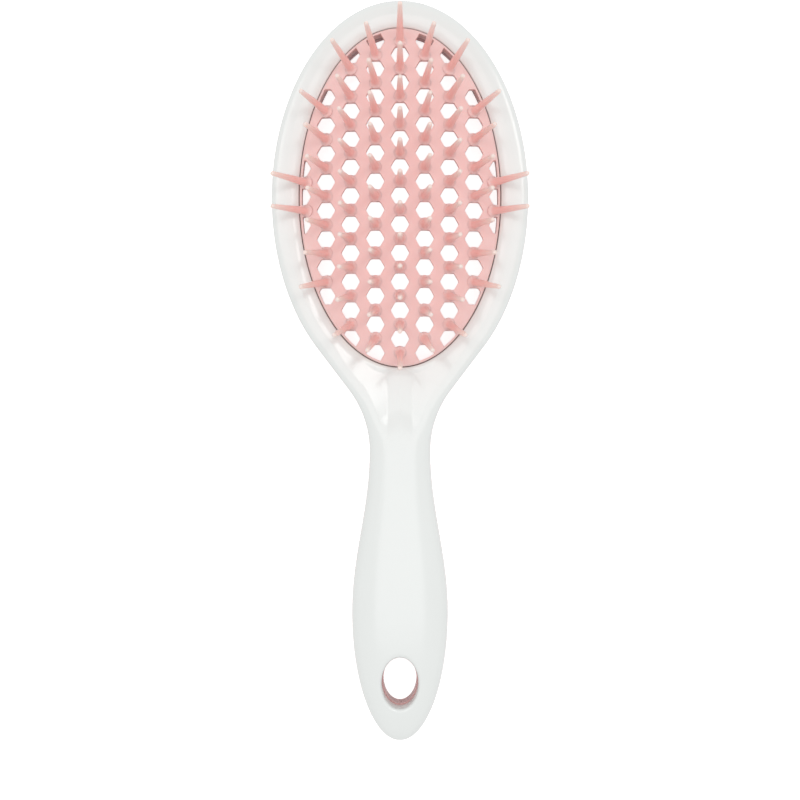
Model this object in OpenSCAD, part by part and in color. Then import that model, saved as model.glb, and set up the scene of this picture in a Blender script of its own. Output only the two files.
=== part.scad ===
// Blow-dry brush: a white front shell and a pink back shell closed on each other,
// with a pink domed pad of vent holes and tines clamped in the ring of the head.
// It lies on its back. X is the width, +Y runs towards the head, and +Z is the tine side.

/* [Overall] */
// Height of the seam between the front shell and the back shell
seam_z = 8.6; // [7.5:0.1:9.5]
// Wall thickness of both shells
wall = 1.8; // [1.4:0.1:2.2]

/* [Head] */
// Width of the head across the ring
head_w = 83.4; // [78:0.1:90]
// Length of the oval that the head follows
head_l = 127.8; // [120:0.1:134]
// Width of the ring face from the outline to the pad opening
ring_w = 8.9; // [8.4:0.1:10]
// Height of the ring's crest above the seam
ring_rise = 4.4; // [3.8:0.1:5.2]
// Width of the rounded outer side of the ring
ring_arch = 4.6; // [4:0.1:5.2]
// How far the ring's face slopes down from its crest to the pad
ring_slope = 0.9; // [0.4:0.1:1.4]
// Radius of the edge around the pad opening
open_edge_r = 1.0; // [0.6:0.1:1.4]

/* [Handle] */
// Width at the narrowest place of the neck
neck_w = 19.8; // [18:0.1:23]
// Distance from the middle of the head to the narrowest place
neck_dist = 82.2; // [80:0.1:86]
// Angle of the straight stretch where the head narrows to the neck
flare_angle = 37.2; // [35:0.1:39]
// Width at the widest place of the handle
handle_w = 31.2; // [28:0.1:34]
// Distance from the narrowest place to the widest place
swell_l = 52.2; // [48:0.1:56]
// Distance from the widest place to the end of the handle
tail_l = 41.7; // [38:0.1:46]
// Height of the widest place above the seam
handle_rise = 7.4; // [6:0.1:8.5]
// How far the back of the neck lifts off the table
neck_lift = 1.4; // [0.5:0.1:2.5]
// Fullness of the handle's sections, where 2 is an ellipse
fullness = 2.5; // [2:0.1:3]

/* [Hanging hole] */
// Width of the hole
hole_w = 11.8; // [9:0.1:13]
// Length of the hole
hole_l = 16.6; // [14:0.1:18]
// Distance from the end of the handle to the middle of the hole
hole_from_end = 19.4; // [18:0.1:22]
// Radius of the hole's edges
hole_edge_r = 1.2; // [0.6:0.1:1.6]

/* [Pad] */
// Gap between the pad and the front shell
pad_gap = 0.35; // [0.2:0.05:0.6]
// Height of the top of the dome above the seam
dome_rise = 7.8; // [7:0.1:9]
// Drop of the dome from its top to its edge
dome_drop = 4.0; // [3.2:0.1:5]
// Thickness of the domed plate
plate_t = 2.0; // [1.6:0.1:2.6]
// Thickness of the skirt below the plate's edge
skirt_t = 1.4; // [1.2:0.1:1.8]
// Distance that the flange reaches out from the skirt
flange_w = 2.9; // [2.4:0.1:3.2]
// Thickness of the flange
flange_t = 1.2; // [1:0.1:1.6]
// Distance between neighbouring vent holes
vent_pitch = 9.17; // [9:0.01:9.4]
// Width of a vent hole across its flat sides
vent_w = 5.25; // [4.6:0.05:5.8]

/* [Tines] */
// Length of a tine above the plate
tine_l = 18; // [14:0.5:20]
// Diameter of a tine at its flared root
tine_root_d = 4.2; // [3.6:0.1:4.6]
// Diameter of a tine above the root
tine_shank_d = 2.9; // [2.4:0.1:3.2]
// Diameter of a tine at its tip
tine_tip_d = 1.35; // [1.1:0.05:1.6]
// Height of the flared root
tine_root_h = 1.7; // [1.2:0.1:2.5]
// Outward lean that the tines reach at the side edges of the pad
lean_side = 17.5; // [12:0.5:22]
// Outward lean that the tines reach at the two ends of the pad
lean_end = 8.5; // [4:0.5:12]
// Further outward splay of the outermost tines
splay = 28; // [18:1:32]

/* [Joining] */
// Diameter of the pins that locate the two shells
pin_d = 2.4; // [2:0.1:2.8]
// Height of the pins above the seam
pin_up = 2.0; // [1.4:0.1:2.2]
// Clearance between a pin and its socket all round
pin_fit = 0.1; // [0.05:0.05:0.2]
// How far the front shell hangs over the back shell all round
overhang = 0.35; // [0.2:0.05:0.6]

/* [Hidden] */
$fn = 96;

// Outline of the brush
head_a = head_w / 2;
head_b = head_l / 2;
total_l = head_b + neck_dist + swell_l + tail_l;
head_y = total_l / 2 - head_b;
neck_y = head_y - neck_dist;
belly_y = neck_y - swell_l;
open_a = head_a - ring_w;
open_b = head_b - ring_w;
open_end = head_y - open_b;
hole_a = hole_w / 2;
hole_b = hole_l / 2;
hole_y = hole_from_end - total_l / 2;
hole_margin = 2;
back_arch = 3.4;
back_edge_r = 1.0;

// Pad
pad_a = open_a - pad_gap;
pad_b = open_b - pad_gap;
dome_top = seam_z + dome_rise;
dome_rx = pad_a ^ 2 / (2 * dome_drop) + dome_drop / 2;
dome_ry = pad_b ^ 2 / (2 * dome_drop) + dome_drop / 2;
column_step = vent_pitch * sqrt(3) / 2;
columns = floor(open_a / column_step);
rows = ceil(open_b / vent_pitch);
splay_power = 7;
tine_sunk = plate_t / 2;
pocket_gap = 0.2;
ledge_z = seam_z - flange_t;
back_open_step = 0.45;

// Joining
boss_wall = 1.2;
boss_d = pin_d + 2 * boss_wall;
ring_pins = [-12, 35, 72, 108, 145, 192];
pin_outset = 0.4;
pin_from_neck = 4;
pin_from_hole = 14;
first_pin_y = neck_y - pin_from_neck;
last_pin_y = hole_y + hole_b + pin_from_hole;
handle_pins = [first_pin_y, (first_pin_y + last_pin_y) / 2, last_pin_y];
pin_sunk = 1;
socket_spare = 0.4;
socket_depth = pin_up + socket_spare;
rib_t = 1.2;
rib_gap = 0.3;

// Rungs of the shells: each goes from the outline in to the pad opening, the
// middle line or the hanging hole, and the counts say how many each stretch has
n_head = 30;
n_flare = 6;
n_neck = 8;
n_grip = 12;
n_hole = 10;
n_tail = 7;
i_flare = n_head + n_flare;
i_neck = i_flare + n_neck;
i_grip = i_neck + n_grip;
i_hole = i_grip + n_hole;
i_end = i_hole + n_tail;
// Places along a rung, as parts of its rounded side, its face and its inner edge
side_steps = [0, 0.05, 0.2, 0.5, 1];
face_steps = [0.5, 1];
edge_steps = [0.5, 1];
cavity_side_steps = [0, 0.35, 1];
cavity_face_steps = [1];
seam_land = 0.4;
thinnest = 0.02;
// Most of a rung that its rounded side takes, and the part that its inner end takes
side_share = 0.6;
end_share = 0.12;
// How the rungs' inner ends crowd together towards the pad, and along the grip
neck_crowding = 1.5;
grip_crowding = 1.4;
round_parts = 24;
dome_parts = 360;
oval_points = 90;
// How far a cutting body reaches past what it cuts, and a slice of the dome past the pad
cut_over = 1;
slice_over = 4;

function soft(t) = let(c = max(0, min(1, t))) c * c * (3 - 2 * c);

// Head oval, straight flare and neck arc, each moved in by g
function flare_k(g) = tan(flare_angle) * (head_b - g) / (head_a - g);
function join_x(g) = (head_a - g) / sqrt(1 + flare_k(g) ^ 2);
function join_y(g) = head_y - (head_b - g) * flare_k(g) / sqrt(1 + flare_k(g) ^ 2);
function neck_r(g) =
    (neck_w / 2 - g - join_x(g) + tan(flare_angle) * (join_y(g) - neck_y))
    / (1 / cos(flare_angle) - 1);
function neck_point(turn, g) =
    [neck_w / 2 - g + neck_r(g) * (1 - cos(turn)), neck_y + neck_r(g) * sin(turn)];

// Half the handle's width at y, moved in by g
function swell(y) = (1 - cos(180 * min(1, max(0, (neck_y - y) / swell_l)))) / 2;
function tail_part(y, g) = max(0, (belly_y - y) / (tail_l - g));
function grip_half(y, g) =
    y > belly_y
    ? neck_w / 2 - g + (handle_w - neck_w) / 2 * swell(y)
    : (handle_w / 2 - g) * sqrt(max(0, 1 - tail_part(y, g) ^ 2));

// One rung: its outer end, its inner end, the width of its rounded side,
// and how much of the ring's slope it has
function head_rung(f, g, o, arch) =
    let(last = atan(flare_k(g)), a = 90 - (90 + last) * f)
    [[(head_a - g) * cos(a), head_y + (head_b - g) * sin(a)],
     [(open_a + o) * cos(a), head_y + (open_b + o) * sin(a)], arch, 1];
function flare_rung(f, g, o, arch) =
    let(from = [join_x(g), join_y(g)], to = neck_point(flare_angle, g),
        first = atan(flare_k(g)), a = -first - (90 - first) * f)
    [from + (to - from) * f,
     [(open_a + o) * cos(a), head_y + (open_b + o) * sin(a)], arch, 1];
function neck_rung(f, g, o, arch) =
    let(from = open_end - o, y = from + (neck_y - from) * f ^ neck_crowding)
    [neck_point(flare_angle * (1 - f), g), [0, y],
     arch + (neck_w / 2 - arch) * soft(f), 1 - soft(f)];
function grip_rung(f, g, o) =
    let(s = 1 - (1 - f) ^ grip_crowding, y = neck_y + (hole_y + hole_b + hole_margin - neck_y) * s,
        y_in = neck_y + (hole_y + hole_b + o - neck_y) * s)
    [[grip_half(y, g), y], [0, y_in], grip_half(y, 0), 0];
function hole_rung(f, g, o) =
    let(y = hole_y + (hole_b + hole_margin) * (1 - 2 * f))
    [[grip_half(y, g), y],
     [(hole_a + o) * sin(180 * f), hole_y + (hole_b + o) * cos(180 * f)], grip_half(y, 0), 0];
function tail_rung(f, g, o) =
    let(y = hole_y - hole_b - hole_margin, first = asin(tail_part(y, g)),
        a = first + (90 - first) * f, from = hole_y - hole_b - o, to = g - total_l / 2)
    [[(handle_w / 2 - g) * cos(a), belly_y - (tail_l - g) * sin(a)],
     [0, from + (to - from) * f], handle_w / 2, 0];
function rung(i, g, o, arch) =
    i <= n_head ? head_rung(i / n_head, g, o, arch)
    : i <= i_flare ? flare_rung((i - n_head) / n_flare, g, o, arch)
    : i <= i_neck ? neck_rung((i - i_flare) / n_neck, g, o, arch)
    : i <= i_grip ? grip_rung((i - i_neck) / n_grip, g, o)
    : i <= i_hole ? hole_rung((i - i_grip) / n_hole, g, o)
    : tail_rung((i - i_hole) / n_tail, g, o);

// Distances along a rung of length l at which the surface has points
function places(i, l, arch, side, face, edge_r) =
    let(r = i <= i_flare || (i > i_grip && i <= i_hole) ? edge_r : l * end_share,
        w = min(arch, side_share * l))
    concat([for (t = side) t * w], [for (t = face) w + (l - w - r) * t],
           [for (t = edge_r == 0 ? [] : edge_steps) l - r + r * t]);

// Distance from an oval with half axes a and b
function oval_gap(x, y, a, b) =
    let(f = norm([x / a, y / b])) (f - 1) * f / norm([x / a ^ 2, y / b ^ 2]);
function round_off(v, r) = v >= r ? 0 : r - sqrt(max(0, r ^ 2 - (r - max(0, v)) ^ 2));
function arch_part(e) = (1 - (1 - max(0, min(1, e))) ^ fullness) ^ (1 / fullness);

// Share of the full height at a point: 0 at the outline and 1 at the crest
function side_part(i, p, u, arch) =
    i <= i_neck ? arch_part(u / arch)
    : let(half = grip_half(p.y, 0)) half < 0.01 ? 0 : arch_part(1 - abs(p.x) / half);
function tail_height(y) = (1 - min(1, tail_part(y, 0)) ^ fullness) ^ (1 / fullness);
function along(y) = max(0, min(1, (open_end - y) / (open_end - belly_y)));
function front_height(y) =
    seam_land
    + (ring_rise + (handle_rise - ring_rise) * soft(along(y)) - seam_land) * tail_height(y);
function back_depth(y) =
    seam_land + (seam_z - neck_lift * sin(180 * along(y)) ^ 2 - seam_land) * tail_height(y);
function edge_cut(p, open_r, hole_r) =
    round_off(oval_gap(p.x, p.y - head_y, open_a, open_b), open_r)
    + round_off(oval_gap(p.x, p.y - hole_y, hole_a, hole_b), hole_r);

// Height of the front shell's face and of the back shell's face at a point
function front_z(i, p, u, l, r) =
    let(flat = max(0.01, l - r[2] - open_edge_r),
        slope = i > i_neck ? 0 : ring_slope * r[3] * soft((u - r[2]) / flat))
    seam_z + seam_land + (front_height(p.y) - seam_land) * side_part(i, p, u, r[2]) - slope
    - edge_cut(p, open_edge_r, hole_edge_r);
function back_z(i, p, u, l, r) =
    seam_z - seam_land - (back_depth(p.y) - seam_land) * side_part(i, p, u, r[2])
    + edge_cut(p, back_edge_r, hole_edge_r);

// Solid between the seam and a face, on rungs shared by the left and the right side.
// The face is moved in by g at the outline, by o at the openings and by t in height.
module shell_block(front, g, o, t, arch, side, face, edge_r, past_seam) {
    cols = len(side) + len(face) + (edge_r == 0 ? 0 : len(edge_steps));
    sign = front ? 1 : -1;
    base_z = seam_z - sign * past_seam;
    rungs = [for (i = [0 : i_end]) rung(i, g, o, arch)];
    faces_at = [for (i = [0 : i_end])
        let(r = rungs[i], l = norm(r[1] - r[0]), at = places(i, l, r[2], side, face, edge_r))
        [for (u = at)
            let(p = r[0] + (r[1] - r[0]) * (l == 0 ? 0 : u / l),
                z = front ? front_z(i, p, u + g, l + g, r) : back_z(i, p, u + g, l + g, r))
            [p.x, p.y, front ? max(base_z + thinnest, z - t) : min(base_z - thinnest, z + t)]]];
    top = [for (s = [1, -1]) for (row = faces_at) for (p = row) [s * p.x, p.y, p.z]];
    base = [for (s = [1, -1]) for (r = rungs) for (p = [r[0], r[1]]) [s * p.x, p.y, base_z]];
    n_top = (i_end + 1) * cols;

    // Points on the middle line belong to both sides
    function on_line(i) = i == 0 || i == i_end || (i >= i_flare && i <= i_grip) || i >= i_hole;
    function side_of(s, i, last) = s == 1 && (i == 0 || i == i_end || (last && on_line(i))) ? 0 : s;
    function top_at(s, i, j) =
        let(k = i == i_end ? 0 : j) side_of(s, i, k == cols - 1) * n_top + i * cols + k;
    function base_at(s, i, j) =
        let(k = i == i_end ? 0 : j)
        2 * n_top + side_of(s, i, k == 1) * 2 * (i_end + 1) + 2 * i + k;
    function inner_wall(i) = i < i_flare || (i >= i_grip && i < i_hole);

    quads = concat(
        [for (s = [0, 1]) for (i = [0 : i_end - 1]) for (j = [0 : cols - 2])
            [s, [top_at(s, i, j), top_at(s, i, j + 1), top_at(s, i + 1, j + 1), top_at(s, i + 1, j)]]],
        [for (s = [0, 1]) for (i = [0 : i_end - 1])
            [s, [base_at(s, i, 0), base_at(s, i + 1, 0), base_at(s, i + 1, 1), base_at(s, i, 1)]]],
        [for (s = [0, 1]) for (i = [0 : i_end - 1])
            [s, [top_at(s, i, 0), top_at(s, i + 1, 0), base_at(s, i + 1, 0), base_at(s, i, 0)]]],
        [for (s = [0, 1]) for (i = [0 : i_end - 1]) if (inner_wall(i))
            [s, [base_at(s, i, 1), base_at(s, i + 1, 1), top_at(s, i + 1, cols - 1),
                 top_at(s, i, cols - 1)]]]);
    flip = front ? 1 : 0;
    triangles = [for (q = quads) for (tri = [[q[1][0], q[1][1], q[1][2]], [q[1][0], q[1][2], q[1][3]]])
        if (tri[0] != tri[1] && tri[1] != tri[2] && tri[2] != tri[0])
            q[0] == flip ? tri : [tri[0], tri[2], tri[1]]];
    polyhedron(points = concat(top, base), faces = triangles, convexity = 8);
}

// Upright oval block around the middle of the head
module oval_block(inset, z0, z1) {
    translate([0, head_y, z0])
        linear_extrude(z1 - z0)
            polygon([for (k = [0 : oval_points - 1]) let(a = k * 360 / oval_points)
                [(open_a - inset) * cos(a), (open_b - inset) * sin(a)]]);
}

// Places of the locating pins: around the ring and down the handle
function pin_places() =
    concat([for (a = ring_pins) [(head_a - ring_w / 2 + pin_outset) * cos(a),
                                 head_y + (head_b - ring_w / 2 + pin_outset) * sin(a)]],
           [for (y = handle_pins) [0, y]]);

module at_pins() {
    for (p = pin_places()) translate([p.x, p.y, 0]) children();
}

// Cross ribs in the handle, between the pins
module ribs(z0, z1) {
    for (k = [0 : 1])
        translate([-handle_w / 2, (handle_pins[k] + handle_pins[k + 1]) / 2 - rib_t / 2, z0])
            cube([handle_w, rib_t, z1 - z0]);
}

module front_shell() {
    top = seam_z + handle_rise;
    color("#eff1f0")
        difference() {
            shell_block(true, 0, 0, 0, ring_arch, side_steps, face_steps, open_edge_r, 0);
            difference() {
                shell_block(true, wall, wall, wall, ring_arch, cavity_side_steps,
                            cavity_face_steps, 0, cut_over);
                at_pins() translate([0, 0, seam_z])
                    cylinder(d = boss_d, h = top - seam_z, $fn = round_parts);
                ribs(seam_z + rib_gap, top);
            }
            at_pins() translate([0, 0, seam_z - cut_over])
                cylinder(d = pin_d + 2 * pin_fit, h = socket_depth + cut_over, $fn = round_parts);
        }
}

module back_shell() {
    color("#e6a9a6")
        union() {
            difference() {
                shell_block(false, overhang, -back_open_step, 0, back_arch, side_steps,
                            face_steps, back_edge_r, 0);
                difference() {
                    shell_block(false, overhang + wall, wall - back_open_step, wall, back_arch,
                                cavity_side_steps, cavity_face_steps, 0, cut_over);
                    at_pins() cylinder(d = boss_d, h = seam_z, $fn = round_parts);
                    ribs(0, seam_z);
                }
                oval_block(-flange_w + skirt_t - pocket_gap, ledge_z, seam_z + cut_over);
            }
            at_pins() translate([0, 0, seam_z - pin_sunk])
                cylinder(d = pin_d, h = pin_up + pin_sunk, $fn = round_parts);
        }
}

// Solid under the dome, with its top lowered by t: a slice of a wide ring
module dome(t) {
    turn = 2 * asin(pad_b / dome_ry) + slice_over;
    translate([0, head_y, dome_top - dome_ry])
        rotate([0, -90, 0])
            rotate([0, 0, -turn / 2])
                rotate_extrude(angle = turn, $fn = dome_parts)
                    intersection() {
                        translate([dome_ry - dome_rx, 0]) circle(r = dome_rx - t, $fn = dome_parts);
                        translate([dome_ry - dome_top + ledge_z, -pad_a - cut_over])
                            square([dome_top, 2 * (pad_a + cut_over)]);
                    }
}

// True where a place of the vent pattern lies in an oval of half axes a and b
function in_oval(x, y, a, b) = (x / a) ^ 2 + (y / b) ^ 2 < 1;

// Places of the vents in one column, and of the tines between them
function vents_in(c) = [for (k = [-rows : rows])
    let(x = c * column_step, y = (k + (c % 2 == 0 ? 0 : 0.5)) * vent_pitch)
    if (in_oval(x, y, open_a, open_b)) [x, y]];
function tines_in(c) = [for (k = [-rows : rows])
    let(x = c * column_step, y = (k + (c % 2 == 0 ? 0.5 : 0)) * vent_pitch)
    if (in_oval(x, y, pad_a - skirt_t / 2, pad_b - skirt_t / 2)) [x, y]];

module vents() {
    for (c = [-columns : columns]) for (p = vents_in(c))
        translate([p.x, head_y + p.y, 0])
            cylinder(d = vent_w / cos(30), h = dome_top + cut_over, $fn = 6);
}

function dome_z(x, y) =
    dome_top - dome_ry + sqrt((dome_ry - dome_rx + sqrt(dome_rx ^ 2 - x ^ 2)) ^ 2 - y ^ 2);

// One tine standing on the plate: flared root, slender shank and round tip. It leans
// more towards the edge, and the outermost ones splay further, away from the pad's middle
module tine(x, y) {
    near_edge = norm([x / pad_a, y / pad_b]) ^ splay_power;
    outward = [x / pad_a ^ 2, y / pad_b ^ 2] / max(norm([x / pad_a ^ 2, y / pad_b ^ 2]), 1e-9);
    lean_x = lean_side * x / pad_a + splay * near_edge * outward.x;
    lean_y = lean_end * y / pad_b + splay * near_edge * outward.y;
    tip_z = tine_l - tine_tip_d / 2;
    translate([x, head_y + y, dome_z(x, y)])
        rotate([-lean_y, lean_x, 0]) {
            translate([0, 0, -tine_sunk])
                cylinder(d1 = tine_root_d, d2 = tine_shank_d, h = tine_sunk + tine_root_h, $fn = round_parts);
            translate([0, 0, tine_root_h])
                cylinder(d1 = tine_shank_d, d2 = tine_tip_d, h = tip_z - tine_root_h, $fn = round_parts);
            translate([0, 0, tip_z]) sphere(d = tine_tip_d, $fn = round_parts);
        }
}

module tines() {
    keep = pad_a - skirt_t - tine_root_d / 4;
    for (c = [-columns : columns]) for (p = tines_in(c))
        tine(max(-keep, min(keep, p.x)), p.y);
}

module bristle_pad() {
    color("#f0b6b2")
        union() {
            difference() {
                intersection() {
                    oval_block(pad_gap, ledge_z, dome_top + cut_over);
                    dome(0);
                }
                intersection() {
                    oval_block(pad_gap + skirt_t, ledge_z - cut_over, dome_top + cut_over);
                    union() {
                        dome(plate_t);
                        vents();
                    }
                }
            }
            difference() {
                oval_block(-flange_w + skirt_t, ledge_z, seam_z);
                oval_block(pad_gap + skirt_t, ledge_z - cut_over, seam_z + cut_over);
            }
            tines();
        }
}

front_shell();
back_shell();
bristle_pad();
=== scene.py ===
# Blow-dry brush lying on its back: a glossy white front shell and a pink back shell
# closed on each other, with a pink vented pad of soft tines clamped in the head's ring.
# Sizes are in millimetres, and meshes are made in metres.

import math

import bmesh
import bpy
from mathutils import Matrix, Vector


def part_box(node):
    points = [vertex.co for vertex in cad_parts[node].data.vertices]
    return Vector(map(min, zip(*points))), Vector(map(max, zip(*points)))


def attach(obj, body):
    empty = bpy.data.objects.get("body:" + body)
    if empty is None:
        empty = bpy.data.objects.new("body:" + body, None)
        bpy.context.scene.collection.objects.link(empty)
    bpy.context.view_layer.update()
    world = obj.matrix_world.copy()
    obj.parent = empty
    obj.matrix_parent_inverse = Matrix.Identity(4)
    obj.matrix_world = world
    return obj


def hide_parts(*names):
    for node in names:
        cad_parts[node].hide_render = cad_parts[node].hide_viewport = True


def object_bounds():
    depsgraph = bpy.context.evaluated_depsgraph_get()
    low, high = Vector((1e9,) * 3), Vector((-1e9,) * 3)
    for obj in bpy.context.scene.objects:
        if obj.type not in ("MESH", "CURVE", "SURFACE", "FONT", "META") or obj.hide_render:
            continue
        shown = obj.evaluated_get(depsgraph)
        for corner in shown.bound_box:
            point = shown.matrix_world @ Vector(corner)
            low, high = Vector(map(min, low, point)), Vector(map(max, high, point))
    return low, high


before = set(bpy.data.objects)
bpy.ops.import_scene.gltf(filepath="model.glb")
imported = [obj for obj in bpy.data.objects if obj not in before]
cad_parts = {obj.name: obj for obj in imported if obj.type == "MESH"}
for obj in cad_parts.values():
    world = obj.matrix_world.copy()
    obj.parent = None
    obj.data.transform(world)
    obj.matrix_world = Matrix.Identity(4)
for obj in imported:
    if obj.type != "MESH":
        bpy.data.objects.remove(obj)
cad_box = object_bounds()

MM = 0.001

# Overall sizes, read from the frame
TOTAL_L = (cad_box[1].y - cad_box[0].y) / MM
SEAM_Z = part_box("front_shell")[0].z / MM
HEAD_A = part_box("front_shell")[1].x / MM
HALF_L = TOTAL_L / 2

# Head
HEAD_B = 63.9
RING_W = 8.9
RING_RISE = 4.4
RING_ARCH = 4.4
NECK_BAND = 3.3
RING_FULLNESS = 4.5
RING_GRADE = math.tan(math.radians(13))
SLOPE_PAST = 1
SLOPE_BEND = 0.15
SLOPE_SLIGHT = 0.4
SLOPE_GROWS = 0.75
SLOPE_FADES = 0.6
VALLEY_FLOOR = 3.8
OPEN_EDGE_W = 3.0
OPEN_EDGE_D = 1.0
HEAD_Y = HALF_L - HEAD_B
OPEN_A = HEAD_A - RING_W
OPEN_B = HEAD_B - RING_W
OPEN_END = HEAD_Y - OPEN_B

# Handle
NECK_W = 19.8
NECK_Y = HEAD_Y - 82.2
FLARE = math.radians(37.2)
HANDLE_W = 31.2
BELLY_Y = NECK_Y - 52.2
SWELL_L = NECK_Y - BELLY_Y
TAIL_L = HALF_L + BELLY_Y
HANDLE_RISE = 7.4
NECK_LIFT = 1.4
FULLNESS = 3.2
BACK_FULLNESS = 2.5

# Hanging hole
HOLE_A = 5.9
HOLE_B = 8.3
HOLE_Y = 19.4 - HALF_L
HOLE_EDGE_R = 1.2
HOLE_MARGIN = 2

# Seam between the shells
OVERHANG = 0.35
BACK_STEP = 0.45
BACK_ARCH = 3.4
BACK_EDGE_R = 1.0
SEAM_LAND = 0.4
SEAM_EDGE = ((0.15, 0), (0.045, 0.045), (0, 0.15))

# Pad
PAD_GAP = 0.25
PAD_A = OPEN_A - PAD_GAP
PAD_B = OPEN_B - PAD_GAP
DOME_TOP = SEAM_Z + 7.8
DOME_DROP = 4.0
PLATE_T = 2.0
PAD_EDGE_R = 0.7
SKIRT_T = 0.9
FLANGE_REACH = 1.5
FLANGE_T = 1.2
VENT_PITCH = 9.17
VENT_W = 5.25
VENT_CORNER_R = 0.8
VENT_EDGE = 0.2
CUT_OVER = 0.1
PAD_SPOKES = 220
PLATE_RINGS = 54

# Tines
TINE_L = 18
TINE_ROOT_R = 2.1
TINE_SHANK_R = 1.25
TINE_TIP_R = 0.72
TINE_ROOT_H = 1.7
TINE_SUNK = 1.0
TINE_SIDES = 24
TINE_INSET = 0.5
LEAN_SIDE = 17.5
LEAN_END = 10
SPLAY = 28
SPLAY_POWER = 7
NECK_SPLAY_SHARE = 0.45

# Stage: space below the brush, so that no face lies in the floor, and the light from all round
FLOOR_GAP = 0.05
SKY_LIGHT = 0.71

# Rungs in each stretch of the shells, and points along each part of a rung
STRETCHES = (("head", 150), ("flare", 36), ("neck", 44), ("grip", 64), ("hole", 48), ("tail", 40))
SIDE_POINTS = 14
FACE_POINTS = 16
EDGE_POINTS = 10
SIDE_SHARE = 0.6
END_SHARE = 0.12
NECK_CROWDING = 1.5
GRIP_CROWDING = 1.4
WELD = 2e-6
SHARP = math.radians(38)


def soft(t):
    c = max(0.0, min(1.0, t))
    return c * c * (3 - 2 * c)


def flare_k(g):
    return math.tan(FLARE) * (HEAD_B - g) / (HEAD_A - g)


def join(g):
    """Where the head's oval goes over into the straight flare, moved in by g."""
    k = flare_k(g)
    root = math.sqrt(1 + k * k)
    return (HEAD_A - g) / root, HEAD_Y - (HEAD_B - g) * k / root


def neck_point(turn, g):
    """A point of the neck's arc, which ends at its narrowest place when turn is 0."""
    x, y = join(g)
    radius = (NECK_W / 2 - g - x + math.tan(FLARE) * (y - NECK_Y)) / (1 / math.cos(FLARE) - 1)
    return NECK_W / 2 - g + radius * (1 - math.cos(turn)), NECK_Y + radius * math.sin(turn)


def swell(y):
    return (1 - math.cos(math.pi * min(1.0, max(0.0, (NECK_Y - y) / SWELL_L)))) / 2


def tail_part(y, g):
    return max(0.0, (BELLY_Y - y) / (TAIL_L - g))


def grip_half(y, g):
    if y > BELLY_Y:
        return NECK_W / 2 - g + (HANDLE_W - NECK_W) / 2 * swell(y)
    return (HANDLE_W / 2 - g) * math.sqrt(max(0.0, 1 - tail_part(y, g) ** 2))


def opening_point(a, o):
    """A point of the head's opening, widened by o."""
    return (OPEN_A + o) * math.cos(a), HEAD_Y + (OPEN_B + o) * math.sin(a)


def rung(stretch, f, g, o, arch):
    """Outer end, inner end, width of the rounded side, share of the ring's slope, and how far
    from the outer end that slope starts and from the inner end it stops."""
    k = flare_k(g)
    if stretch == "head":
        a = math.pi / 2 - (math.pi / 2 + math.atan(k)) * f
        outer = ((HEAD_A - g) * math.cos(a), HEAD_Y + (HEAD_B - g) * math.sin(a))
        share = SLOPE_SLIGHT + (1 - SLOPE_SLIGHT) * soft((f - SLOPE_GROWS) / (1 - SLOPE_GROWS))
        return outer, opening_point(a, o), arch, share, RING_ARCH, -SLOPE_PAST
    if stretch == "flare":
        head_end, neck_end = join(g), neck_point(FLARE, g)
        a = -math.atan(k) - (math.pi / 2 - math.atan(k)) * f
        outer = tuple(p + (q - p) * f for p, q in zip(head_end, neck_end))
        start = RING_ARCH + (NECK_BAND - RING_ARCH) * soft(f)
        stop = (VALLEY_FLOOR + SLOPE_PAST) * soft(f) - SLOPE_PAST
        return outer, opening_point(a, o), arch, 1, start, stop
    if stretch == "neck":
        top = OPEN_END - o
        inner = (0, top + (NECK_Y - top) * f ** NECK_CROWDING)
        width = arch + (NECK_W / 2 - arch) * soft(f)
        share = 1 - soft((f - SLOPE_FADES) / (1 - SLOPE_FADES))
        return neck_point(FLARE * (1 - f), g), inner, width, share, NECK_BAND, VALLEY_FLOOR
    if stretch == "grip":
        s = 1 - (1 - f) ** GRIP_CROWDING
        y = NECK_Y + (HOLE_Y + HOLE_B + HOLE_MARGIN - NECK_Y) * s
        inner = (0, NECK_Y + (HOLE_Y + HOLE_B + o - NECK_Y) * s)
        return (grip_half(y, g), y), inner, grip_half(y, 0), 0, 0, 0
    if stretch == "hole":
        y = HOLE_Y + (HOLE_B + HOLE_MARGIN) * (1 - 2 * f)
        inner = ((HOLE_A + o) * math.sin(math.pi * f), HOLE_Y + (HOLE_B + o) * math.cos(math.pi * f))
        return (grip_half(y, g), y), inner, grip_half(y, 0), 0, 0, 0
    first = math.asin(tail_part(HOLE_Y - HOLE_B - HOLE_MARGIN, g))
    a = first + (math.pi / 2 - first) * f
    top, end = HOLE_Y - HOLE_B - o, g - HALF_L
    outer = ((HANDLE_W / 2 - g) * math.cos(a), BELLY_Y - (TAIL_L - g) * math.sin(a))
    return outer, (0, top + (end - top) * f), HANDLE_W / 2, 0, 0, 0


def oval_gap(x, y, a, b):
    """Distance from an oval with half axes a and b."""
    f = math.hypot(x / a, y / b)
    return (f - 1) * f / math.hypot(x / a**2, y / b**2)


def round_off(v, r):
    return 0.0 if v >= r else r - math.sqrt(max(0.0, r * r - (r - max(0.0, v)) ** 2))


def arch_part(e, full):
    return (1 - (1 - max(0.0, min(1.0, e))) ** full) ** (1 / full)


def bent(t):
    """Fall at t along a slope of unit angle, which bends down, runs straight and levels out."""
    t = max(0.0, min(1.0, t))
    if t < SLOPE_BEND:
        return t**2 / (2 * SLOPE_BEND)
    if t < 1 - SLOPE_BEND:
        return t - SLOPE_BEND / 2
    return 1 - SLOPE_BEND - (1 - t) ** 2 / (2 * SLOPE_BEND)


def tail_height(y):
    return (1 - min(1.0, tail_part(y, 0)) ** FULLNESS) ** (1 / FULLNESS)


def along(y):
    return max(0.0, min(1.0, (OPEN_END - y) / (OPEN_END - BELLY_Y)))


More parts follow.
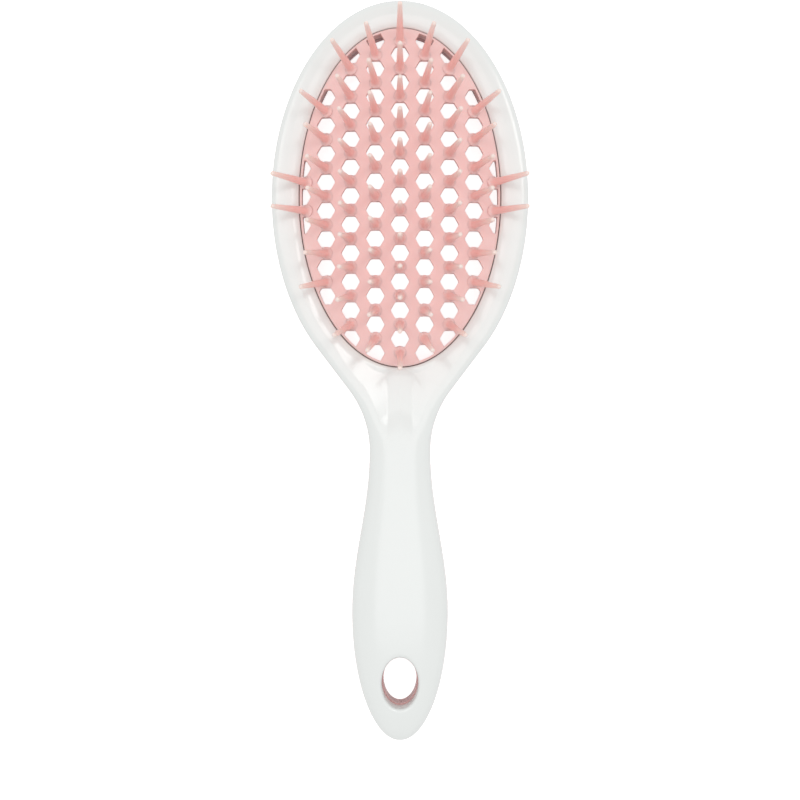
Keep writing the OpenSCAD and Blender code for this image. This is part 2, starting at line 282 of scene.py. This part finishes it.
def front_height(y):
    crest = RING_RISE + (HANDLE_RISE - RING_RISE) * soft(along(y))
    return SEAM_LAND + (crest - SEAM_LAND) * tail_height(y)


def back_depth(y):
    depth = SEAM_Z - NECK_LIFT * math.sin(math.pi * along(y)) ** 2
    return SEAM_LAND + (depth - SEAM_LAND) * tail_height(y)


def edge_cut(x, y, open_w, open_d):
    at_opening = round_off(oval_gap(x, y - HEAD_Y, OPEN_A, OPEN_B) * open_d / open_w, open_d)
    return at_opening + round_off(oval_gap(x, y - HOLE_Y, HOLE_A, HOLE_B), HOLE_EDGE_R)


def face_z(front, stretch, x, y, u, length, width, share, start, stop):
    """Height of a shell's face, u along a rung of that length from the outline."""
    full = FULLNESS if front else BACK_FULLNESS
    if stretch in ("head", "flare", "neck"):
        if front:
            full += (RING_FULLNESS - FULLNESS) * (NECK_W / 2 - width) / (NECK_W / 2 - RING_ARCH)
        side = arch_part(u / width, full)
    else:
        half = grip_half(y, 0)
        side = arch_part(1 - abs(x) / half, full) if half > 0.01 else 0.0
    if not front:
        face = SEAM_Z - SEAM_LAND - (back_depth(y) - SEAM_LAND) * side
        return face + edge_cut(x, y, BACK_EDGE_R, BACK_EDGE_R)
    sloping = max(0.01, length - start - stop)
    slope = RING_GRADE * share * sloping * bent((u - start) / sloping)
    face = SEAM_Z + SEAM_LAND + (front_height(y) - SEAM_LAND) * side
    return face - slope - edge_cut(x, y, OPEN_EDGE_W, OPEN_EDGE_D)


def places(stretch, length, arch, edge_r):
    """Distances along a rung at which the face has points, close together where it curves."""
    end = {"head": edge_r, "flare": edge_r, "hole": HOLE_EDGE_R}.get(stretch, length * END_SHARE)
    side = min(arch, SIDE_SHARE * length)
    turns = [math.pi / 2 * k / SIDE_POINTS for k in range(SIDE_POINTS + 1)]
    found = [side * (1 - math.cos(t) ** (2 / RING_FULLNESS)) for t in turns]
    found += [side + (length - side - end) * k / FACE_POINTS for k in range(1, FACE_POINTS + 1)]
    turns = [math.pi / 2 * k / EDGE_POINTS for k in range(1, EDGE_POINTS + 1)]
    return found + [length - end + end * math.sin(t) for t in turns]


def metres(x, y, z):
    return x * MM, y * MM, z * MM


def shell_rows(front):
    """For each rung, its points from the seam over the face and back down to the seam."""
    g, o = (0, 0) if front else (OVERHANG, -BACK_STEP)
    arch, edge_r = (RING_ARCH, OPEN_EDGE_W) if front else (BACK_ARCH, BACK_EDGE_R)
    up = 1 if front else -1
    rows = []
    for stretch, count in STRETCHES:
        last = stretch == STRETCHES[-1][0]
        for k in range(count + last):
            outer, inner, width, share, start, stop = rung(stretch, k / count, g, o, arch)
            dx, dy = inner[0] - outer[0], inner[1] - outer[1]
            length = math.hypot(dx, dy)
            ux, uy = (dx / length, dy / length) if length > WELD / MM else (0, 0)
            points = []
            for inset, rise in SEAM_EDGE:
                inset = min(inset, length)
                points.append((outer[0] + ux * inset, outer[1] + uy * inset, SEAM_Z + up * rise))
            for u in places(stretch, length, arch, edge_r):
                x, y = outer[0] + ux * u, outer[1] + uy * u
                z = face_z(front, stretch, x, y, u + g, length + g, width, share, start, stop)
                points.append((x, y, z))
            points.append((inner[0], inner[1], SEAM_Z))
            rows.append((stretch, points))
    return rows


def shell(name, front):
    """One closed shell: both halves of its face, its walls and its flat side at the seam."""
    rows = shell_rows(front)
    mesh = bmesh.new()
    for side in (1, -1):
        grid = [[mesh.verts.new(metres(side * x, y, z)) for x, y, z in points] for _, points in rows]
        for k in range(len(rows) - 1):
            this, following = grid[k], grid[k + 1]
            walled = rows[k][0] in ("head", "flare", "hole")
            for j in range(len(this) - 1 if walled else len(this) - 2):
                mesh.faces.new((this[j], this[j + 1], following[j + 1], following[j]))
            mesh.faces.new((this[-1], this[0], following[0], following[-1]))
    bmesh.ops.remove_doubles(mesh, verts=mesh.verts, dist=WELD)
    bmesh.ops.dissolve_degenerate(mesh, edges=mesh.edges, dist=WELD)
    bmesh.ops.recalc_face_normals(mesh, faces=mesh.faces)
    return finished(name, mesh)


def finished(name, mesh):
    """A smooth-shaded object of this bmesh, with its place in its mesh."""
    data = bpy.data.meshes.new(name)
    mesh.to_mesh(data)
    mesh.free()
    data.shade_smooth()
    data.set_sharp_from_angle(angle=SHARP)
    made = bpy.data.objects.new(name, data)
    bpy.context.scene.collection.objects.link(made)
    return made


def lathe(name, outline, sides):
    """A closed turned body from (radius, height) points that start and end on the axis.
    Its vertices carry how far along its height they lie."""
    mesh = bmesh.new()
    share = mesh.verts.layers.float.new("along")
    rings = []
    for radius, height in outline:
        count = 1 if radius < WELD / MM else sides
        ring = []
        for k in range(count):
            a = math.tau * k / sides
            vert = mesh.verts.new(metres(radius * math.cos(a), radius * math.sin(a), height))
            vert[share] = max(0.0, height / outline[-1][1])
            ring.append(vert)
        rings.append(ring)
    for low, high in zip(rings, rings[1:]):
        for k in range(sides):
            ends = (low, k), (low, k + 1), (high, k + 1), (high, k)
            corners = [ring[i % len(ring)] for ring, i in ends]
            mesh.faces.new(list(dict.fromkeys(corners)))
    return finished(name, mesh)


def stack(name, loops):
    """A closed body of loops with as many points each, the first and the last filled in."""
    mesh = bmesh.new()
    rings = [[mesh.verts.new(metres(*point)) for point in loop] for loop in loops]
    for a, b in zip(rings, rings[1:]):
        for k in range(len(a)):
            following = (k + 1) % len(a)
            mesh.faces.new((a[k], a[following], b[following], b[k]))
    mesh.faces.new(rings[0])
    mesh.faces.new(rings[-1])
    bmesh.ops.recalc_face_normals(mesh, faces=mesh.faces)
    return finished(name, mesh)


def oval(half_x, half_y, z):
    turns = [math.tau * k / PAD_SPOKES for k in range(PAD_SPOKES)]
    return [(half_x * math.cos(t), half_y * math.sin(t), z) for t in turns]


def tine_outline():
    """Half section of a tine: a flared root, a slender shank and a round tip."""
    outline = [(0, -TINE_SUNK), (TINE_ROOT_R, -TINE_SUNK)]
    for t in (0, 0.15, 0.35, 0.6, 1):
        outline.append((TINE_SHANK_R + (TINE_ROOT_R - TINE_SHANK_R) * (1 - t) ** 3, TINE_ROOT_H * t))
    shank_l = TINE_L - TINE_TIP_R - TINE_ROOT_H
    for t in (0.25, 0.5, 0.75, 1):
        outline.append((TINE_SHANK_R + (TINE_TIP_R - TINE_SHANK_R) * t, TINE_ROOT_H + shank_l * t))
    for a in map(math.radians, (25, 50, 75)):
        outline.append((TINE_TIP_R * math.cos(a), TINE_L - TINE_TIP_R + TINE_TIP_R * math.sin(a)))
    return outline + [(0, TINE_L)]


def vent_cutter():
    """A hexagonal punch with rounded corners, which widens at the plate's upper face."""
    levels = ((-8, 0), (-VENT_EDGE, 0), (-VENT_EDGE / 3, VENT_EDGE / 3), (VENT_EDGE, VENT_EDGE * 1.7))
    loops = []
    for z, wider in levels:
        loop = []
        reach = (VENT_W / 2 + wider - VENT_CORNER_R) / math.cos(math.pi / 6)
        for corner in range(6):
            middle = math.tau * corner / 6
            for step in (-1, -0.5, 0, 0.5, 1):
                a = middle + step * math.pi / 6
                x = reach * math.cos(middle) + VENT_CORNER_R * math.cos(a)
                y = reach * math.sin(middle) + VENT_CORNER_R * math.sin(a)
                loop.append((x, y, z))
        loops.append(loop)
    return stack("vent_cutter", loops)


def pad_blank():
    """The pad before its vents are cut, unrolled flat: plate, skirt and flange."""
    flange_top = SEAM_Z - (DOME_TOP - DOME_DROP)
    shares = [k / PLATE_RINGS for k in range(1, PLATE_RINGS + 1)]
    inner_a, inner_b = PAD_A - SKIRT_T, PAD_B - SKIRT_T
    loops = [oval((PAD_A - PAD_EDGE_R) * t, (PAD_B - PAD_EDGE_R) * t, 0) for t in shares]
    for a in map(math.radians, (30, 60, 90)):
        out = PAD_EDGE_R * (1 - math.sin(a))
        loops.append(oval(PAD_A - out, PAD_B - out, PAD_EDGE_R * (math.cos(a) - 1)))
    loops += [oval(PAD_A, PAD_B, z) for z in (-PLATE_T, flange_top)]
    for z in (flange_top, flange_top - FLANGE_T):
        loops.append(oval(OPEN_A + FLANGE_REACH, OPEN_B + FLANGE_REACH, z))
    loops += [oval(inner_a, inner_b, z) for z in (flange_top - FLANGE_T, flange_top, -PLATE_T)]
    loops += [oval(inner_a * t, inner_b * t, -PLATE_T) for t in reversed(shares[:-1])]
    return stack("pad_blank", loops)


def clip_block():
    """Where vents may be cut: inside the skirt, with a little of it to cut clean through."""
    a, b = PAD_A - SKIRT_T + CUT_OVER, PAD_B - SKIRT_T + CUT_OVER
    return stack("clip_block", [oval(a, b, z) for z in (-7, 1)])


def add(tree, kind, inputs=(), **settings):
    """Adds a node with its settings, and its inputs from values or other nodes' sockets."""
    node = tree.nodes.new(kind)
    for name, value in settings.items():
        setattr(node, name, value)
    for socket, value in dict(inputs).items():
        for item in value if isinstance(value, list) else [value]:
            if isinstance(item, bpy.types.NodeSocket):
                tree.links.new(item, node.inputs[socket])
            else:
                node.inputs[socket].default_value = item
    return node


def lattice(tree, sizes, parity, half_axes):
    """Points of the honeycomb that lie in an oval: vents with parity 0, tines with parity 1."""
    columns, rows = 11, 15
    column_step = math.sqrt(3) / 2
    points = add(tree, "GeometryNodePoints", {"Count": columns * rows}).outputs[0]
    index = add(tree, "GeometryNodeInputIndex").outputs[0]
    column = add(tree, "ShaderNodeMath", {0: index, 1: rows}, operation="DIVIDE").outputs[0]
    column = add(tree, "ShaderNodeMath", {0: column}, operation="FLOOR").outputs[0]
    row = add(tree, "ShaderNodeMath", {0: index, 1: rows}, operation="MODULO").outputs[0]
    column = add(tree, "ShaderNodeMath", {0: column, 1: columns // 2}, operation="SUBTRACT").outputs[0]
    row = add(tree, "ShaderNodeMath", {0: row, 1: rows // 2}, operation="SUBTRACT").outputs[0]
    odd = add(tree, "ShaderNodeMath", {0: column, 1: parity}, operation="ADD").outputs[0]
    odd = add(tree, "ShaderNodeMath", {0: odd, 1: 2}, operation="FLOORED_MODULO").outputs[0]
    row = add(tree, "ShaderNodeMath", {0: odd, 1: 0.5, 2: row}, operation="MULTIPLY_ADD").outputs[0]
    step = add(tree, "ShaderNodeMath", {0: sizes["Pitch"], 1: column_step}, operation="MULTIPLY").outputs[0]
    x = add(tree, "ShaderNodeMath", {0: column, 1: step}, operation="MULTIPLY").outputs[0]
    y = add(tree, "ShaderNodeMath", {0: row, 1: sizes["Pitch"]}, operation="MULTIPLY").outputs[0]
    place = add(tree, "ShaderNodeCombineXYZ", {0: x, 1: y}).outputs[0]
    share = add(tree, "ShaderNodeVectorMath", {0: place, 1: half_axes}, operation="DIVIDE").outputs[0]
    reach = add(tree, "ShaderNodeVectorMath", {0: share}, operation="LENGTH").outputs[1]
    outside = add(tree, "FunctionNodeCompare", {0: reach, 1: 1.0}, operation="GREATER_EQUAL").outputs[0]
    placed = add(tree, "GeometryNodeSetPosition", {"Geometry": points, "Position": place}).outputs[0]
    return add(tree, "GeometryNodeDeleteGeometry", {0: placed, 1: outside}).outputs[0]


def dome_fall(tree, sizes, place):
    """How far the dome lies below its top at a place, and that place's share of the pad's oval."""
    axes = sizes["Pad half axes"]
    share = add(tree, "ShaderNodeVectorMath", {0: place, 1: axes}, operation="DIVIDE").outputs[0]
    share = add(tree, "ShaderNodeVectorMath", {0: share, 1: (1, 1, 0)}, operation="MULTIPLY").outputs[0]
    square = add(tree, "ShaderNodeVectorMath", {0: share, 1: share}, operation="DOT_PRODUCT").outputs[1]
    fall = add(tree, "ShaderNodeMath", {0: square, 1: sizes["Dome drop"]}, operation="MULTIPLY").outputs[0]
    return fall, share


def pad_tree(material):
    """Cuts the vents in the flat blank, bends it to the dome and plants the tines on it."""
    tree = bpy.data.node_groups.new("vented_pad", "GeometryNodeTree")
    field = (PAD_A - TINE_INSET) * MM, (PAD_B - TINE_INSET) * MM, 1
    named = (
        ("Blank", "NodeSocketObject", None),
        ("Vent cutter", "NodeSocketObject", None),
        ("Clip block", "NodeSocketObject", None),
        ("Tine", "NodeSocketObject", None),
        ("Pitch", "NodeSocketFloat", VENT_PITCH * MM),
        ("Dome drop", "NodeSocketFloat", DOME_DROP * MM),
        ("Pad half axes", "NodeSocketVector", (PAD_A * MM, PAD_B * MM, 1)),
        ("Opening half axes", "NodeSocketVector", (OPEN_A * MM, OPEN_B * MM, 1)),
        ("Tine field half axes", "NodeSocketVector", field),
        ("Outermost tine", "NodeSocketFloat", (PAD_A - SKIRT_T - TINE_ROOT_R * 2 / 3) * MM),
        ("Lean", "NodeSocketVector", (math.radians(LEAN_SIDE), math.radians(LEAN_END), 0)),
        ("Splay", "NodeSocketFloat", math.radians(SPLAY)),
        ("Splay power", "NodeSocketFloat", SPLAY_POWER),
        ("Splay share at the neck", "NodeSocketFloat", NECK_SPLAY_SHARE),
        ("Dome top", "NodeSocketFloat", DOME_TOP * MM),
        ("Head middle", "NodeSocketFloat", HEAD_Y * MM),
        ("Flange top", "NodeSocketFloat", (SEAM_Z - DOME_TOP + DOME_DROP) * MM),
        ("Plate thickness", "NodeSocketFloat", PLATE_T * MM),
    )
    for name, kind, _ in named:
        tree.interface.new_socket(name, in_out="INPUT", socket_type=kind)
    tree.interface.new_socket("Geometry", in_out="OUTPUT", socket_type="NodeSocketGeometry")
    sizes = add(tree, "NodeGroupInput").outputs

    def solid(name):
        return add(tree, "GeometryNodeObjectInfo", {"Object": sizes[name]}).outputs["Geometry"]

    # Vents
    vents = lattice(tree, sizes, 0, sizes["Opening half axes"])
    cutter = solid("Vent cutter")
    vents = add(tree, "GeometryNodeInstanceOnPoints", {"Points": vents, "Instance": cutter}).outputs[0]
    vents = add(tree, "GeometryNodeRealizeInstances", {0: vents}).outputs[0]
    clipped = add(
        tree,
        "GeometryNodeMeshBoolean",
        {"Mesh 2": [vents, solid("Clip block")]},
        operation="INTERSECT",
        solver="MANIFOLD",
    ).outputs[0]
    plate = add(
        tree,
        "GeometryNodeMeshBoolean",
        {"Mesh 1": solid("Blank"), "Mesh 2": clipped},
        operation="DIFFERENCE",
        solver="MANIFOLD",
    ).outputs[0]

    # The plate follows the dome, and the skirt levels out down to the flange
    place = add(tree, "GeometryNodeInputPosition").outputs[0]
    fall, _ = dome_fall(tree, sizes, place)
    height = add(tree, "ShaderNodeSeparateXYZ", {0: place}).outputs[2]
    low = add(tree, "ShaderNodeMath", {0: sizes["Plate thickness"], 1: -1}, operation="MULTIPLY").outputs[0]
    bend = add(
        tree,
        "ShaderNodeMapRange",
        {"Value": height, "From Min": sizes["Flange top"], "From Max": low},
        clamp=True,
    ).outputs[0]
    short = add(tree, "ShaderNodeMath", {0: sizes["Dome drop"], 1: fall}, operation="SUBTRACT").outputs[0]
    lift = add(tree, "ShaderNodeMath", {0: short, 1: bend}, operation="MULTIPLY").outputs[0]
    lift = add(tree, "ShaderNodeMath", {0: lift, 1: sizes["Dome drop"]}, operation="SUBTRACT").outputs[0]
    plate = add(
        tree,
        "GeometryNodeSetPosition",
        {"Geometry": plate, "Offset": add(tree, "ShaderNodeCombineXYZ", {2: lift}).outputs[0]},
    ).outputs[0]

    # Tines
    tines = lattice(tree, sizes, 1, sizes["Tine field half axes"])
    place = add(tree, "GeometryNodeInputPosition").outputs[0]
    outermost = sizes["Outermost tine"]
    inner = add(tree, "ShaderNodeMath", {0: outermost, 1: -1}, operation="MULTIPLY").outputs[0]
    xyz = add(tree, "ShaderNodeSeparateXYZ", {0: place}).outputs
    x = add(tree, "ShaderNodeMath", {0: xyz[0], 1: inner}, operation="MAXIMUM").outputs[0]
    x = add(tree, "ShaderNodeMath", {0: x, 1: outermost}, operation="MINIMUM").outputs[0]
    kept = add(tree, "ShaderNodeCombineXYZ", {0: x, 1: xyz[1]}).outputs[0]
    tines = add(tree, "GeometryNodeSetPosition", {"Geometry": tines, "Position": kept}).outputs[0]
    fall, share = dome_fall(tree, sizes, place)
    reach = add(tree, "ShaderNodeVectorMath", {0: share}, operation="LENGTH").outputs[1]
    reach = add(tree, "ShaderNodeMath", {0: reach, 1: sizes["Splay power"]}, operation="POWER").outputs[0]
    splay = add(tree, "ShaderNodeMath", {0: reach, 1: sizes["Splay"]}, operation="MULTIPLY").outputs[0]
    near_neck = add(
        tree,
        "ShaderNodeMapRange",
        {
            "Value": add(tree, "ShaderNodeSeparateXYZ", {0: share}).outputs[1],
            "From Min": -1,
            "From Max": -0.5,
            "To Min": sizes["Splay share at the neck"],
        },
    ).outputs[0]
    splay = add(tree, "ShaderNodeMath", {0: splay, 1: near_neck}, operation="MULTIPLY").outputs[0]
    axes = sizes["Pad half axes"]
    outward = add(tree, "ShaderNodeVectorMath", {0: share, 1: axes}, operation="DIVIDE").outputs[0]
    outward = add(tree, "ShaderNodeVectorMath", {0: outward}, operation="NORMALIZE").outputs[0]
    outward = add(tree, "ShaderNodeVectorMath", {0: outward, "Scale": splay}, operation="SCALE").outputs[0]
    lean = add(tree, "ShaderNodeVectorMath", {0: share, 1: sizes["Lean"]}, operation="MULTIPLY").outputs[0]
    lean = add(tree, "ShaderNodeVectorMath", {0: lean, 1: outward}, operation="ADD").outputs[0]
    lean = add(tree, "ShaderNodeSeparateXYZ", {0: lean}).outputs
    back = add(tree, "ShaderNodeMath", {0: lean[1], 1: -1}, operation="MULTIPLY").outputs[0]
    turn = add(tree, "ShaderNodeCombineXYZ", {0: back, 1: lean[0]}).outputs[0]
    turn = add(tree, "FunctionNodeEulerToRotation", {0: turn}).outputs[0]
    fall = add(tree, "ShaderNodeMath", {0: fall, 1: -1}, operation="MULTIPLY").outputs[0]
    tines = add(
        tree,
        "GeometryNodeSetPosition",
        {"Geometry": tines, "Offset": add(tree, "ShaderNodeCombineXYZ", {2: fall}).outputs[0]},
    ).outputs[0]
    tines = add(
        tree,
        "GeometryNodeInstanceOnPoints",
        {"Points": tines, "Instance": solid("Tine"), "Rotation": turn},
    ).outputs[0]

    # Both go to their place in the head
    both = add(tree, "GeometryNodeJoinGeometry", {0: [tines, plate]}).outputs[0]
    seat = add(tree, "ShaderNodeCombineXYZ", {1: sizes["Head middle"], 2: sizes["Dome top"]}).outputs[0]
    both = add(tree, "GeometryNodeTransform", {"Geometry": both, "Translation": seat}).outputs[0]
    both = add(tree, "GeometryNodeRealizeInstances", {0: both}).outputs[0]
    both = add(tree, "GeometryNodeSetMaterial", {"Geometry": both, "Material": material}).outputs[0]
    add(tree, "NodeGroupOutput", {0: both})
    return tree, named


def bristle_pad(material):
    """The vented pad as one plain mesh, made by the node tree from its blank, cutter and tine."""
    parts = {
        "Blank": pad_blank(),
        "Vent cutter": vent_cutter(),
        "Clip block": clip_block(),
        "Tine": lathe("tine", tine_outline(), TINE_SIDES),
    }
    host = bpy.data.objects.new("pad_host", bpy.data.meshes.new("pad_host"))
    bpy.context.scene.collection.objects.link(host)
    tree, named = pad_tree(material)
    modifier = host.modifiers.new("vented_pad", "NODES")
    modifier.node_group = tree
    sockets = {item.name: item.identifier for item in tree.interface.items_tree if item.in_out == "INPUT"}
    for name, _, value in named:
        modifier[sockets[name]] = parts[name] if name in parts else value
    evaluated = host.evaluated_get(bpy.context.evaluated_depsgraph_get())
    data = bpy.data.meshes.new_from_object(evaluated)
    data.name = "bristle_pad"
    host.modifiers.remove(modifier)
    for helper in [host, *parts.values()]:
        bpy.data.objects.remove(helper)
    data.shade_smooth()
    data.set_sharp_from_angle(angle=SHARP)
    made = bpy.data.objects.new("bristle_pad_moulding", data)
    bpy.context.scene.collection.objects.link(made)
    return made


def blend(tree, factor, first, second):
    """A mix of two colours, each a socket or written out as hex."""
    first, second = (linear(c) if isinstance(c, str) else c for c in (first, second))
    return add(tree, "ShaderNodeMix", {0: factor, 6: first, 7: second}, data_type="RGBA").outputs[2]


def linear(hex_colour):
    """An sRGB hex colour as the linear colour that shaders take."""
    channels = [int(hex_colour[k : k + 2], 16) / 255 for k in (1, 3, 5)]
    return tuple(c / 12.92 if c <= 0.04045 else ((c + 0.055) / 1.055) ** 2.4 for c in channels) + (1.0,)


def new_material(name):
    made = bpy.data.materials.new(name)
    made.use_nodes = True
    made.node_tree.nodes.clear()
    return made, made.node_tree


def gloss_abs(name, light, dark, roughness):
    """Injection-moulded ABS from a polished mould: a bright even gloss over opaque
    colour, with a very slight waviness where the plastic shrank."""
    made, tree = new_material(name)
    place = add(tree, "ShaderNodeTexCoord").outputs["Object"]
    flow = add(tree, "ShaderNodeTexNoise", {"Vector": place, "Scale": 60, "Detail": 2}).outputs[0]
    colour = blend(tree, flow, dark, light)
    waves = add(tree, "ShaderNodeTexNoise", {"Vector": place, "Scale": 140, "Detail": 1}).outputs[0]
    bump = add(tree, "ShaderNodeBump", {"Height": waves, "Strength": 0.02, "Distance": 0.0005}).outputs[0]
    surface = add(
        tree,
        "ShaderNodeBsdfPrincipled",
        {"Base Color": colour, "Roughness": roughness, "IOR": 1.54, "Normal": bump},
    )
    add(tree, "ShaderNodeOutputMaterial", {0: surface.outputs[0]})
    return made


def satin_nylon(name):
    """Moulded soft nylon: satin and slightly translucent. The tines' tips are painted paler, partly for
    that translucency and partly as painted light where the tips stand clear of the shade among the tines.
    """
    made, tree = new_material(name)
    place = add(tree, "ShaderNodeTexCoord").outputs["Object"]
    share = add(tree, "ShaderNodeAttribute", attribute_name="along").outputs["Fac"]
    cloud = add(tree, "ShaderNodeTexNoise", {"Vector": place, "Scale": 110, "Detail": 2}).outputs[0]
    plate = blend(tree, cloud, "#f6cac6", "#f9d4d0")
    on_tine = add(tree, "ShaderNodeMapRange", {"Value": share, "From Min": 0.0, "From Max": 0.1}).outputs[0]
    shank = blend(tree, on_tine, plate, "#ffcac4")
    # Painted light: the tines turn paler towards their tips. This stands partly for the thin ends'
    # translucency and partly for the light they catch clear of the shade among the tines.
    lit_tip_share = add(tree, "ShaderNodeMapRange", {"Value": share, "From Min": 0.4, "From Max": 1.0}).outputs[0]
    colour = blend(tree, lit_tip_share, shank, "#ffe5de")
    depth = add(tree, "ShaderNodeMapRange", {"Value": on_tine, "To Min": 0.3, "To Max": 0.5}).outputs[0]
    grain = add(tree, "ShaderNodeTexNoise", {"Vector": place, "Scale": 2500, "Detail": 1}).outputs[0]
    bump = add(tree, "ShaderNodeBump", {"Height": grain, "Strength": 0.08, "Distance": 0.0001}).outputs[0]
    surface = add(
        tree,
        "ShaderNodeBsdfPrincipled",
        {
            "Base Color": colour,
            "Roughness": 0.42,
            "IOR": 1.53,
            "Subsurface Weight": depth,
            "Subsurface Radius": (1.0, 0.8, 0.7),
            "Subsurface Scale": 0.0012,
            "Normal": bump,
        },
    )
    add(tree, "ShaderNodeOutputMaterial", {0: surface.outputs[0]})
    return made


def shown(tree, seen, mirrored):
    """The first strength for rays from the camera, the second for those that a surface mirrors or lets
    through, and nothing for the light that falls on the brush."""
    rays = add(tree, "ShaderNodeLightPath").outputs
    direct, glossy, through = (rays[f"Is {kind} Ray"] for kind in ("Camera", "Glossy", "Transmission"))
    other = add(tree, "ShaderNodeMath", {0: glossy, 1: through}, operation="MAXIMUM").outputs[0]
    other = add(tree, "ShaderNodeMath", {0: other, 1: mirrored}, operation="MULTIPLY").outputs[0]
    direct = add(tree, "ShaderNodeMath", {0: direct, 1: seen}, operation="MULTIPLY").outputs[0]
    return add(tree, "ShaderNodeMath", {0: direct, 1: other}, operation="MAXIMUM").outputs[0]


def paper_floor():
    """Matt white sheet under the brush, seen as white beyond the brush's soft shadow."""
    made, tree = new_material("white_paper")
    paper = add(tree, "ShaderNodeBsdfDiffuse", {"Color": linear("#f4f4f4")}).outputs[0]
    glow = add(tree, "ShaderNodeEmission", {"Strength": shown(tree, 0.8, 0.2)}).outputs[0]
    both = add(tree, "ShaderNodeAddShader", {0: paper, 1: glow}).outputs[0]
    add(tree, "ShaderNodeOutputMaterial", {0: both})
    return made


def floor():
    mesh = bmesh.new()
    bmesh.ops.create_grid(mesh, x_segments=1, y_segments=1, size=3)
    bmesh.ops.translate(mesh, verts=mesh.verts, vec=(0, 0, -FLOOR_GAP * MM))
    made = finished("floor", mesh)
    made.data.materials.append(paper_floor())


def lamp(name, place, size, power, target=(0, 0, 0)):
    light = bpy.data.lights.new(name, "AREA")
    light.shape = "RECTANGLE"
    light.size, light.size_y = size
    light.energy = power
    made = bpy.data.objects.new(name, light)
    made.location = place
    made.rotation_euler = (Vector(target) - Vector(place)).to_track_quat("-Z", "Y").to_euler()
    bpy.context.scene.collection.objects.link(made)


def studio():
    world = bpy.data.worlds.new("studio")
    world.use_nodes = True
    tree = world.node_tree
    tree.nodes.clear()
    more = shown(tree, 1 - SKY_LIGHT, 1 - SKY_LIGHT)
    strength = add(tree, "ShaderNodeMath", {0: more, 1: SKY_LIGHT}, operation="ADD").outputs[0]
    white = add(tree, "ShaderNodeBackground", {"Color": (1, 1, 1, 1), "Strength": strength}).outputs[0]
    add(tree, "ShaderNodeOutputWorld", {0: white})
    bpy.context.scene.world = world
    lamp("overhead", (0, 0, 1.8), (0.9, 0.9), 3.4)
    lamp("right_strip", (0.62, 0.5, 1.6), (0.42, 0.42), 2.5)
    lamp("left_strip", (-0.62, 0.45, 1.6), (0.55, 0.55), 2.0)


def camera():
    height, across, focal = 0.4386, 800, 1318.8
    data = bpy.data.cameras.new("camera")
    data.sensor_width = 36
    data.lens = data.sensor_width * focal / across
    made = bpy.data.objects.new("camera", data)
    made.location = (0, -0.0095, height)
    bpy.context.scene.collection.objects.link(made)
    bpy.context.scene.camera = made


white_abs = gloss_abs("white_abs", "#f0f3f1", "#eef1ef", 0.16)
pink_abs = gloss_abs("pink_abs", "#dca9a7", "#d9a4a2", 0.2)
pink_nylon = satin_nylon("pink_nylon")

front = shell("front_moulding", True)
back = shell("back_moulding", False)
pad = bristle_pad(pink_nylon)
front.data.materials.append(white_abs)
back.data.materials.append(pink_abs)
for piece, node in ((front, "front_shell"), (back, "back_shell"), (pad, "bristle_pad")):
    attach(piece, "root")
    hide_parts(node)

floor()
studio()
camera()
bpy.context.scene.view_settings.view_transform = "Standard"
